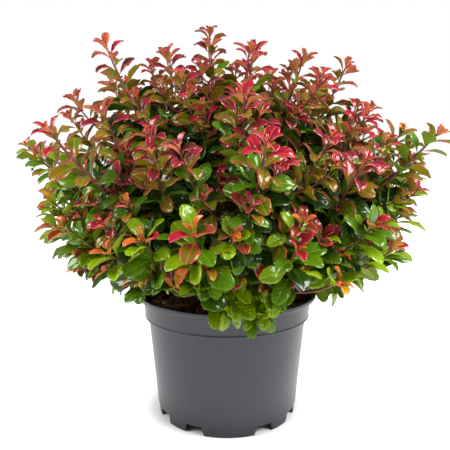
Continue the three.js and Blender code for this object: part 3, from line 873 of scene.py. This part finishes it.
def planShoots(mass):
    # the mass's stem and its side shoots, then the finer shoots between them
    draw = seededStream(mass["seed"])
    end, along = limbEnd(mass)
    foot = end + along * shoots["collar"]
    direction = mass["direction"]
    across, above = tangentFrame(direction)
    ring = mass["ring"]
    mainTip = tipOf(direction, draw(*shoots["mainReach"]))
    mainCurve = shootCurve(foot, mainTip, direction, shoots["upwardTurn"])
    grown = [{
        "kind": "main", "seat": end + along * shoots["clearance"], "curve": mainCurve,
        "roll": draw(0, 360), "mass": mass,
    }]

    def branch(kind, heading, leave, factor, roll):
        # one shoot, unless it would leave the mass's space or cover the soil
        tip = tipOf(heading, factor)
        begin = bezier(mainCurve, leave)
        while leave > shoots["leastLeave"] and (tip - begin).dot(heading) < shoots["leastLength"]:
            leave *= shoots["retreat"]
            begin = bezier(mainCurve, leave)
        curve = shootCurve(begin, tip, heading, shoots[kind].get("upwardTurn", shoots["upwardTurn"]))
        inSpace = all(isInSpace(bezier(curve, t), mass["walls"], shoots["spaceMargin"]) for t in (0, 0.5, 1))
        if inSpace and (kind == "side" or not hidesSoil([bezier(curve, t) for t in (0.5, 0.75, 1)])):
            grown.append({"kind": kind, "curve": curve, "roll": roll, "mass": mass})
        return inSpace

    def branchWithin(kind, side, wide, leave, factor, roll):
        # tries again closer to the middle of the mass where the shoot would leave it
        for narrowing in shoots["narrowings"]:
            share = wide * narrowing
            acrossShare = math.tan(math.radians(ring["spreadAcross"])) * math.cos(side) * share
            upShare = math.tan(math.radians(ring["spreadUp"])) * math.sin(side) * share
            heading = (direction + across * acrossShare + above * upShare).normalized()
            if branch(kind, heading, leave, factor, roll):
                break

    firstSide = draw(0, 360)
    for k in range(shoots["sideCount"]):
        side = math.radians(firstSide + 360 * k / shoots["sideCount"] + draw(*shoots["sideJitter"]))
        leave, factor, roll = draw(*shoots["stemShare"]), draw(*shoots["sideReach"]), draw(0, 360)
        branchWithin("side", side, 1, leave, factor, roll)

    fine = seededStream(mass["seed"] + crown["fineSeed"])
    for kind in ("fine", "inner"):
        plan = shoots[kind]
        for k in range(plan["count"]):
            side = math.radians(leafGrowth["turn"] * k + fine(*shoots["fineJitter"]))
            wide = math.sqrt((k + shoots["firstWide"]) / plan["count"]) * plan["spread"]
            leave, factor = fine(*plan["leave"]), fine(*plan["reach"])
            if ring["name"] in ("shoulder", "top"):
                factor *= shoots["upperShare"]
            branchWithin(kind, side, wide, leave, factor, fine(0, 360))
    plan = shoots["skirt"]
    for k in range(plan["count"] if ring["name"] == "low" else 0):
        azimuth = mass["azimuth"] + plan["across"] * (2 * (k + 0.5) / plan["count"] - 1)
        if not isOverOpenRim(azimuth):
            heading = directionAt(azimuth + fine(*plan["jitter"]), fine(*plan["elevation"]))
            branch("skirt", heading, fine(*plan["leave"]), fine(*plan["reach"]), fine(0, 360))
    return grown


# Limbs and twigs: round rods along chains of points, with bark relief

bark = {
    "tones": ((52, 32, 24), (96, 66, 50)),
    "twigTones": ((54, 24, 18), (86, 46, 30)),
    "youngTones": ((82, 24, 20), (104, 50, 28)),
    "look": {"scale": 220.0, "stretch": (1, 1, 0.3), "roughness": (0.65, 0.9), "bump": 0.7, "depth": 0.0008},
    "twigLook": {
        "scale": 500.0, "stretch": (1, 1, 0.4), "roughness": (0.45, 0.7), "bump": 0.3, "depth": 0.0003,
    },
    "limb": {"Sides": 16, "Relief": 0.32, "Relief scale": 150.0},
    "twig": {"Sides": 6, "Relief": 0.16, "Relief scale": 400.0},
    "ridgeStretch": (1, 1, 0.3), "reliefDetail": 3.0,
    "twigSteps": 9, "youngFrom": 0.5, "fineYoungFrom": 0.3,
}


def rodTree():
    tree, given, out = newTree("rods", "GeometryNodeTree", [
        ("Geometry", "NodeSocketGeometry", None),
        ("Sides", "NodeSocketInt", 8),
        ("Relief", "NodeSocketFloat", 0.1),
        ("Relief scale", "NodeSocketFloat", 150.0),
        ("Bark", "NodeSocketMaterial", None),
    ], [("Geometry", "NodeSocketGeometry")])
    paths = addNode(tree, "GeometryNodeMeshToCurve", values={"Mesh": given["Geometry"]})
    ring = addNode(tree, "GeometryNodeCurvePrimitiveCircle", values={
        "Resolution": given["Sides"], "Radius": 1.0,
    })
    rods = addNode(tree, "GeometryNodeCurveToMesh", values={
        "Curve": paths.outputs[0], "Profile Curve": ring.outputs[0],
        "Scale": storedValue(tree, "thickness", "FLOAT"), "Fill Caps": True,
    })
    place = addNode(tree, "GeometryNodeInputPosition").outputs[0]
    ridges = addNode(tree, "ShaderNodeVectorMath", {"operation": "MULTIPLY"}, {
        0: place, 1: bark["ridgeStretch"],
    })
    noise = noiseAt(tree, ridges.outputs[0], given["Relief scale"], bark["reliefDetail"])
    lift = maths(tree, "MULTIPLY", maths(tree, "SUBTRACT", noise, 0.5), given["Relief"])
    offset = addNode(tree, "ShaderNodeVectorMath", {"operation": "SCALE"}, {
        0: addNode(tree, "GeometryNodeInputNormal").outputs[0],
        "Scale": maths(tree, "MULTIPLY", lift, storedValue(tree, "thickness", "FLOAT")),
    })
    rough = addNode(tree, "GeometryNodeSetPosition", values={
        "Geometry": rods.outputs[0], "Offset": offset.outputs[0],
    })
    smooth = addNode(tree, "GeometryNodeSetShadeSmooth", values={"Geometry": rough.outputs[0]})
    real = addNode(tree, "GeometryNodeRealizeInstances", values={"Geometry": smooth.outputs[0]})
    tree.links.new(painted(tree, real.outputs[0], given["Bark"]), out[0])
    return tree


def rodPiece(name, chains, values):
    # a chain is a list of point and radius, in millimetres
    points, edges, thickness = [], [], []
    for chain in chains:
        first = len(points)
        edges += [(first + k, first + k + 1) for k in range(len(chain) - 1)]
        points += [point * mm for point, radius in chain]
        thickness += [radius * mm for point, radius in chain]
    mesh = plainMesh(name, points, [], edges)
    store(mesh, "thickness", "FLOAT", thickness)
    return runTree(newPiece(name, mesh), rods, values)


def makeLimbs(masses):
    steps = stem["steps"]
    shares = [(k / steps) ** stem["stepEase"] for k in range(steps + 1)]
    chains = [[(stemPoint(share), stemRadius(share)) for share in shares]]
    steps = crown["fineBoughSteps"]
    for mass in masses:
        if mass["bough"]:
            curve, radius = boughCurve(mass), mass["ring"]["boughRadius"]
            chains.append([
                (bezier(curve, k / steps), radius * between(1, crown["boughTipShare"], k / steps))
                for k in range(steps + 1)
            ])
    material = grainMaterial("stem_bark", bark["tones"], bark["look"])
    nodes = ["main_stem"] + [mass["bough"] for mass in masses if mass["bough"]]
    declarePiece(rodPiece("woody_limbs", chains, {**bark["limb"], "Bark": material}), "woody_bark", nodes)


def twigChain(shoot):
    steps = bark["twigSteps"]
    foot, tip = shoots[shoot["kind"]]["twig"]
    chain = [(bezier(shoot["curve"], k / steps), between(foot, tip, k / steps)) for k in range(steps + 1)]
    if "seat" in shoot:
        chain.insert(0, (shoot["seat"], foot))
    return chain


def makeTwigs(grown, nodes):
    # each twig is woody at its foot and young towards its tip
    woody, young = [], []
    for shoot in grown:
        chain = twigChain(shoot)
        isThick = shoot["kind"] in ("main", "side")
        cut = int(len(chain) * bark["youngFrom" if isThick else "fineYoungFrom"])
        woody.append(chain[:cut + 1])
        young.append(chain[cut:])
    for name, chains, materialName, tones in (
        ("woody_twigs", woody, "twig_bark", "twigTones"), ("young_twigs", young, "young_bark", "youngTones"),
    ):
        material = grainMaterial(materialName, bark[tones], bark["twigLook"])
        declarePiece(rodPiece(name, chains, {**bark["twig"], "Bark": material}), "woody_bark", nodes)


# Leaves: obovate, short-stalked, finely toothed towards a round tip

leaf = {
    "rows": (0.12, 0.3, 0.5, 0.7, 0.87, 0.965),  # stations between the stalk's foot and the tip
    "halfWidth": 0.242, "leastHalfWidth": 0.016, "stalk": 0.1,
    "fullness": (1.1, 0.56), "swell": 1.3,  # lean at the stalk, round at the tip
    "edgeShare": 0.84, "rib": 0.013, "ribShare": 0.6, "thickness": 0.016, "pillow": 0.05,
    "tooth": 0.018, "toothShare": 0.7, "firstToothedRow": 2, "firstOuterRow": 2,
    "spineSteps": 24, "bendEase": 1.7, "ripples": 17, "rippleShift": 2,
    "mapSides": (0.25, 0.75), "mapWidth": 0.8,  # where the upper side and underside lie across the map
}
leafParts = ("blade", "outer", "edge", "rib", "under")

# Bend of the spine, lift at the stalk and fold of the halves in degrees, wave, and tones swapped or not
flatShapes = [(34, 8, 8, 0.05, False), (54, 12, 6, 0.1, True), (24, 4, 14, 0.1, False)]
archedShapes = [(62, 12, 12, 0.06, False), (96, 20, 12, 0.08, True), (78, 8, 16, 0.1, False)]
youngShapes = [
    (48, 0, 26, 0.05, False), (84, 8, 22, 0.1, True), (26, -8, 30, 0.04, False), (60, 4, 18, 0.12, True),
]
leafShapes = flatShapes + archedShapes + youngShapes


def leafHalfWidth(share):
    s = clamped((share - leaf["stalk"]) / (1 - leaf["stalk"]))
    width = leaf["halfWidth"] * math.sin(math.pi * s ** leaf["swell"]) ** between(*leaf["fullness"], s)
    return max(width, leaf["leastHalfWidth"])


def leafMesh(number, bend, lift, fold, wave, swapTones):
    # one leaf a unit long. The bend curls its tip down and the fold lifts its two halves.
    points, places, faces, parts = [], [], [], []

    def slope(share):
        return math.radians(lift - bend * share ** leaf["bendEase"])

    def add(share, y, above, isUnder=False):
        x, z, steps = 0, 0, leaf["spineSteps"]
        for k in range(steps):
            angle = slope((k + 0.5) / steps * share)
            x += math.cos(angle) * share / steps
            z += math.sin(angle) * share / steps
        ripple = wave * math.sin(share * leaf["ripples"] + (leaf["rippleShift"] if y > 0 else 0))
        lifted = above + abs(y) * (math.tan(math.radians(fold)) + ripple)
        points.append((x - math.sin(slope(share)) * lifted, y, z + math.cos(slope(share)) * lifted))
        places.append((share, leaf["mapSides"][isUnder] + leaf["mapWidth"] * y))
        return len(points) - 1

    def face(corners, part):
        faces.append(corners)
        parts.append(leafParts.index(part))

    base = add(0, 0, 0)
    rows = []
    for share in leaf["rows"]:
        w = leafHalfWidth(share)
        inner, rib = w * leaf["edgeShare"], min(leaf["rib"], w * leaf["ribShare"])
        rise = leaf["pillow"] * w / leaf["halfWidth"]
        rows.append([
            add(share, y, above) for y, above in (
                (-w, 0), (-inner, rise), (-rib, 0), (rib, 0), (inner, rise), (w, 0),
            )
        ])
        rows[-1].append(add(share, 0, -leaf["thickness"], True))
    tip = add(1, 0, 0)
    margin = {base, tip}
    first, last = rows[0], rows[-1]
    for k, part in enumerate(("edge", "outer", "rib", "outer", "edge")):
        face((base, first[k + 1], first[k]), "rib")
        face((last[k], last[k + 1], tip), part)
    face((base, first[0], first[6]), "rib")
    face((base, first[6], first[5]), "rib")
    face((last[6], last[0], tip), "under")
    face((last[5], last[6], tip), "under")
    for row, (near, far) in enumerate(zip(rows, rows[1:])):
        blade = "outer" if (row >= leaf["firstOuterRow"]) != swapTones else "blade"
        leftEdge, rightEdge = [near[0], far[0]], [near[5], far[5]]
        if row >= leaf["firstToothedRow"]:
            share = between(leaf["rows"][row], leaf["rows"][row + 1], leaf["toothShare"])
            w = leafHalfWidth(share) + leaf["tooth"]
            leftEdge.insert(1, add(share, -w, 0))
            rightEdge.insert(1, add(share, w, 0))
        margin.update(leftEdge + rightEdge)
        face((*leftEdge[::-1], near[1], far[1]), "edge")
        for k, part in ((1, blade), (2, "rib"), (3, blade)):
            face((near[k], near[k + 1], far[k + 1], far[k]), part)
        face((near[4], *rightEdge, far[4]), "edge")
        face((*leftEdge, far[6], near[6]), "under")
        face((near[6], far[6], *rightEdge[::-1]), "under")
    mesh = plainMesh(f"leaf_{number}", points, faces)
    mesh.shade_smooth()
    for edge in mesh.edges:
        if margin.issuperset(edge.vertices):
            edge.use_edge_sharp = True
    uvMap = mesh.uv_layers.new(name="OFBake")
    for loop in mesh.loops:
        uvMap.uv[loop.index].vector = places[loop.vertex_index]
    store(mesh, "part", "INT", parts, "FACE")
    return mesh


# Leaf tones, each with its parts in the order of leafParts

leafTones = {
    "bud": ((206, 84, 34), (208, 88, 46), (206, 86, 58), (224, 140, 70), (196, 100, 56)),
    "crimson": ((118, 8, 26), (138, 14, 36), (158, 36, 58), (182, 70, 50), (198, 112, 78)),
    "rose": ((136, 32, 46), (150, 42, 58), (170, 72, 84), (206, 124, 78), (200, 122, 80)),
    "maroon": ((70, 28, 18), (106, 20, 32), (146, 44, 54), (134, 66, 38), (186, 124, 68)),
    "bronze": ((86, 74, 10), (118, 38, 28), (144, 52, 50), (138, 92, 34), (178, 134, 50)),
    "olive": ((76, 90, 4), (102, 84, 12), (138, 60, 38), (124, 116, 22), (126, 112, 26)),
    "green": ((59, 94, 2), (67, 102, 4), (70, 102, 6), (94, 122, 16), (100, 118, 26)),
    "deep": ((24, 52, 3), (28, 58, 4), (34, 62, 5), (52, 82, 12), (60, 84, 18)),
    "lime": ((97, 129, 2), (107, 137, 4), (114, 132, 8), (136, 158, 26), (132, 150, 34)),
    "coral": ((158, 124, 14), (176, 90, 26), (186, 60, 52), (204, 164, 50), (176, 126, 50)),
}
leafSlots = {
    **dict.fromkeys(("bud", "crimson", "rose", "maroon", "coral"), "red_foliage"),
    **dict.fromkeys(("bronze", "olive"), "bronze_foliage"),
    **dict.fromkeys(("green", "deep", "lime"), "green_foliage"),
}
leafGloss = {
    "upper": {"roughness": (0.3, 0.48), "coat": 0.55, "bump": 0.5},
    "under": {"roughness": (0.45, 0.65), "coat": 0.06, "bump": 0.2},
    "coatRoughness": 0.08, "specular": 0.06, "veinDepth": 0.0007,
}

# How far below the tip each band of tones runs, and the tones that a spray may take there
sprayBands = {
    "high": {
        1: "bud", 9: "crimson rose crimson rose", 22: "maroon crimson maroon olive",
        40: "bronze olive maroon olive", 64: "olive olive green olive", 400: "deep deep green",
    },
    "flank": {
        1: "coral bud", 7: "rose crimson coral bronze", 14: "olive lime bronze lime",
        34: "green lime green lime", 60: "green green olive", 400: "deep green",
    },
    "middle": {
        1: "bud", 7: "crimson rose coral crimson", 16: "bronze maroon olive maroon",
        34: "olive green lime green", 56: "green deep olive", 400: "deep",
    },
    "skirt": {
        1: "coral bud", 7: "coral lime coral crimson", 14: "lime bronze lime green",
        26: "lime green green", 50: "green green lime deep", 400: "deep green",
    },
    # the low hanging sprays lean to lime: partly the leaves' own tone, partly painted light, lighter to make
    # up for the shade of the crown above them
    "hanging": {3: "lime", 30: "lime lime green lime", 54: "lime green", 400: "deep green"},
    "inner": {6: "green olive deep", 24: "deep green", 400: "deep"},
}


def leafMaterial(toneName, part, tone):
    gloss = leafGloss["under" if part == "under" else "upper"]
    material, tree, shader = newMaterial(f"{toneName}_{part}", {
        "Base Color": linearTone(*tone), "Specular IOR Level": leafGloss["specular"],
        "Coat Weight": gloss["coat"], "Coat Roughness": leafGloss["coatRoughness"],
    })
    low, high = gloss["roughness"]
    group = addNode(tree, "ShaderNodeGroup", {"node_tree": veinGroup}, {"Low": low, "High": high})
    addRelief(tree, shader, group, gloss["bump"], leafGloss["veinDepth"])
    return material


def leafTree():
    tree, given, out = newTree("leaves", "GeometryNodeTree", [
        ("Geometry", "NodeSocketGeometry", None),
        ("Shapes", "NodeSocketCollection", None),
        *[(part, "NodeSocketMaterial", None) for part in leafParts],
    ], [("Geometry", "NodeSocketGeometry")])
    shapes = addNode(tree, "GeometryNodeCollectionInfo", values={
        "Collection": given["Shapes"], "Separate Children": True, "Reset Children": True,
    })
    spots = addNode(tree, "GeometryNodeMeshToPoints", values={"Mesh": given["Geometry"]})
    laid = addNode(tree, "GeometryNodeInstanceOnPoints", values={
        "Points": spots.outputs[0], "Instance": shapes.outputs[0], "Pick Instance": True,
        "Instance Index": storedValue(tree, "shape", "INT"),
        "Rotation": storedValue(tree, "turn", "QUATERNION"),
        "Scale": storedValue(tree, "size", "FLOAT_VECTOR"),
    })
    flow = addNode(tree, "GeometryNodeRealizeInstances", values={"Geometry": laid.outputs[0]}).outputs[0]
    for k, part in enumerate(leafParts):
        chosen = addNode(tree, "FunctionNodeCompare", {"data_type": "INT", "operation": "EQUAL"})
        slots = [socket for socket in chosen.inputs if socket.enabled]
        tree.links.new(storedValue(tree, "part", "INT"), slots[0])
        slots[1].default_value = k
        flow = painted(tree, flow, given[part], chosen.outputs[0])
    tree.links.new(flow, out[0])
    return tree


# Where each leaf grows. Distances are measured down the twig from its tip.

zones = {
    "hangingBelow": 195, "skirtBelow": 266, "highFrom": 300, "flankBelow": 375,
    "flankShare": (0.6, 0.75),  # how far aside a flank begins, and where it runs to the top
}
leafGrowth = {
    "turn": 137.5, "rollJitter": (-12, 12), "endShare": 0.9, "tangentStep": 0.02,
    "rosette": (0.4, 1.5, 3, 4.9, 7.3, 10.2, 13.6, 17.3, 21.2),
    "spacing": 4.5, "spacingSpread": (0.85, 1.2), "leafyShare": 0.92,
    "spread": (12, 62), "spreadOver": 22, "spreadEase": 0.65, "spreadJitter": (-9, 9),
    "faceUp": 0.45, "faceOut": (-0.15, 0.15), "twist": 52, "leastTwist": 0.25, "twistOver": 40,
    "length": {"top": 26, "shoulder": 26, "side": 26.5, "low": 35.5}, "lengthSpread": (0.92, 1.08),
    "youngShare": {"high": 0.4, "middle": 0.42, "flank": 0.5, "skirt": 0.56, "hanging": 0.56, "inner": 0.56},
    "youngOver": 13, "youngEase": 0.8, "tipShare": 0.62, "tipOver": 3, "sizeSpread": (0.9, 1.1),
    "innerShare": 1.3, "innerFrom": 25, "innerOver": 50,
    "youngTo": 9, "archedTo": 34, "upperBreadth": 0.86, "tipBreadth": 0.62, "breadthOver": 4,
    "strayShare": 0.25,  # leaves that take another tone of their band
    "hangingSlope": -0.35, "hangingBand": 3,  # leaves that hang down are grown ones
    "spaceMargin": -9, "rimGap": 3, "clearHeight": 14, "skirtClearHeight": 3, "lowest": 138,
    "fewest": 7,  # a shoot with fewer leaves is left out
}


def sprayZone(shoot):
    tip = shoot["curve"][2]
    aside = abs((tip - crown["heart"]).normalized().x)
    least, sure = zones["flankShare"]
    if shoot["kind"] == "inner":
        return "inner"
    if shoot["kind"] == "skirt" or tip.z < zones["hangingBelow"]:
        return "hanging"
    if tip.z < zones["skirtBelow"]:
        return "skirt"
    if aside > sure or aside > least and tip.z < zones["flankBelow"]:
        return "flank"
    return "high" if tip.z > zones["highFrom"] else "middle"


def leafSpots(leafy, draw):
    spots = [below for below in leafGrowth["rosette"] if below < leafy]
    while spots[-1] + leafGrowth["spacing"] < leafy:
        spots.append(spots[-1] + leafGrowth["spacing"] * draw(*leafGrowth["spacingSpread"]))
    return spots


def hasRoom(shoot, point, end):
    # false where a leaf would leave its mass's space, reach into the pot or hide the soil
    isSkirt = shoot["kind"] == "skirt"
    clearHeight = pot["height"] + leafGrowth["skirtClearHeight" if isSkirt else "clearHeight"]
    clearRadius = pot["rimRadius"] + leafGrowth["rimGap"]
    if any(math.hypot(spot.x, spot.y) < clearRadius and spot.z < clearHeight for spot in (point, end)):
        return False
    inSpace = isInSpace(end, shoot["mass"]["walls"], leafGrowth["spaceMargin"])
    return inSpace and end.z >= leafGrowth["lowest"] and not hidesSoil((point, (point + end) / 2, end))


def risen(start, below, over, ease=1):
    # a share that grows from its start at the tip to the full size
    return between(start, 1, clamped(below / over) ** ease)


def growLeaves(shoot):
    # leaves in a spiral, small and upright at the tip, larger and wider spread below it
    growth, mass, curve, step = leafGrowth, shoot["mass"], shoot["curve"], leafGrowth["tangentStep"]
    draw = seededStream(mass["seed"] * crown["leafSeed"] + int(shoot["roll"] * 100))
    length = (curve[2] - curve[0]).length
    spots = leafSpots(min(shoots[shoot["kind"]]["leafy"], length * growth["leafyShare"]), draw)
    full = growth["length"][mass["ring"]["name"]] * draw(*growth["lengthSpread"])
    full *= shoots[shoot["kind"]].get("leafShare", 1)
    zone = sprayZone(shoot)
    bands = [(limit, tones.split()) for limit, tones in sprayBands[zone].items()]
    dealt = [pick(draw, tones) for limit, tones in bands]
    reference = tangentFrame((curve[2] - bezier(curve, growth["endShare"])).normalized())[0]
    for k, below in enumerate(spots):
        t = 1 - below / length
        point = bezier(curve, t)
        along = (bezier(curve, min(t + step, 1)) - bezier(curve, t - step)).normalized()
        side = (reference - along * reference.dot(along)).normalized()
        roll = math.radians(shoot["roll"] + growth["turn"] * k + draw(*growth["rollJitter"]))
        radial = side * math.cos(roll) + along.cross(side) * math.sin(roll)
        spread = between(*growth["spread"], clamped(below / growth["spreadOver"]) ** growth["spreadEase"])
        spread = math.radians(spread + draw(*growth["spreadJitter"]))
        heading = (along * math.cos(spread) + radial * math.sin(spread)).normalized()
        facing = along + upward * growth["faceUp"] + radial * draw(*growth["faceOut"])
        normal = (facing - heading * facing.dot(heading)).normalized()
        twist = draw(-1, 1) * growth["twist"] * risen(growth["leastTwist"], below, growth["twistOver"])
        normal = Matrix.Rotation(math.radians(twist), 3, heading) @ normal
        size = full * risen(growth["youngShare"][zone], below, growth["youngOver"], growth["youngEase"])
        size *= between(1, growth["innerShare"], clamped((below - growth["innerFrom"]) / growth["innerOver"]))
        size *= draw(*growth["sizeSpread"]) * risen(growth["tipShare"], below, growth["tipOver"])
        if not hasRoom(shoot, point, point + heading * size):
            continue
        band = next(number for number, (limit, tones) in enumerate(bands) if below <= limit)
        if heading.z < growth["hangingSlope"]:
            band = max(band, min(growth["hangingBand"], len(bands) - 2))
        tone = dealt[band]
        if draw(0, 1) < growth["strayShare"]:
            tone = pick(draw, bands[band][1])
        if below < growth["youngTo"]:
            kinds, breadth = youngShapes, growth["upperBreadth"]
        elif zone in ("high", "middle") and below < growth["archedTo"]:
            kinds, breadth = archedShapes, growth["upperBreadth"]
        else:
            kinds, breadth = flatShapes, 1
        shape = leafShapes.index(pick(draw, kinds))
        breadth *= draw(*growth["sizeSpread"]) * risen(growth["tipBreadth"], below, growth["breadthOver"])
        yield tone, {
            "point": point * mm, "shape": shape, "node": mass["node"],
            "turn": Matrix((heading, normal.cross(heading), normal)).transposed().to_quaternion(),
            "size": (size * mm, size * mm * breadth, size * mm),
        }


def makeLeaves(grown):
    meshes = [leafMesh(number, *shape) for number, shape in enumerate(leafShapes)]
    shapes = shapeCollection("leaf_shapes", meshes)
    tree = leafTree()
    leaves = [found for shoot in grown for found in shoot["leaves"]]
    for tone, partTones in leafTones.items():
        spots = [spot for found, spot in leaves if found == tone]
        mesh = plainMesh(f"{tone}_leaves", [spot["point"] for spot in spots], [])
        store(mesh, "turn", "QUATERNION", [part for spot in spots for part in spot["turn"]])
        store(mesh, "size", "FLOAT_VECTOR", [part for spot in spots for part in spot["size"]], field="vector")
        store(mesh, "shape", "INT", [spot["shape"] for spot in spots])
        materials = {part: leafMaterial(tone, part, own) for part, own in zip(leafParts, partTones)}
        piece = runTree(newPiece(mesh.name, mesh), tree, {"Shapes": shapes, **materials})
        declarePiece(piece, leafSlots[tone], sorted({spot["node"] for spot in spots}))
    dropCollection(shapes)
    print("leaves in all", len(leaves))


makeStudio()
makePot()
makeSoil()
makeChips()
rods = rodTree()
masses = planMasses()
makeLimbs(masses)
grown = [shoot for mass in masses for shoot in planShoots(mass)]
for shoot in grown:
    shoot["leaves"] = list(growLeaves(shoot))
grown = [shoot for shoot in grown if shoot["kind"] == "main" or len(shoot["leaves"]) >= leafGrowth["fewest"]]
foliageNodes = [mass["node"] for mass in masses]
makeTwigs(grown, foliageNodes)
print("shoots", len(grown))
makeLeaves(grown)
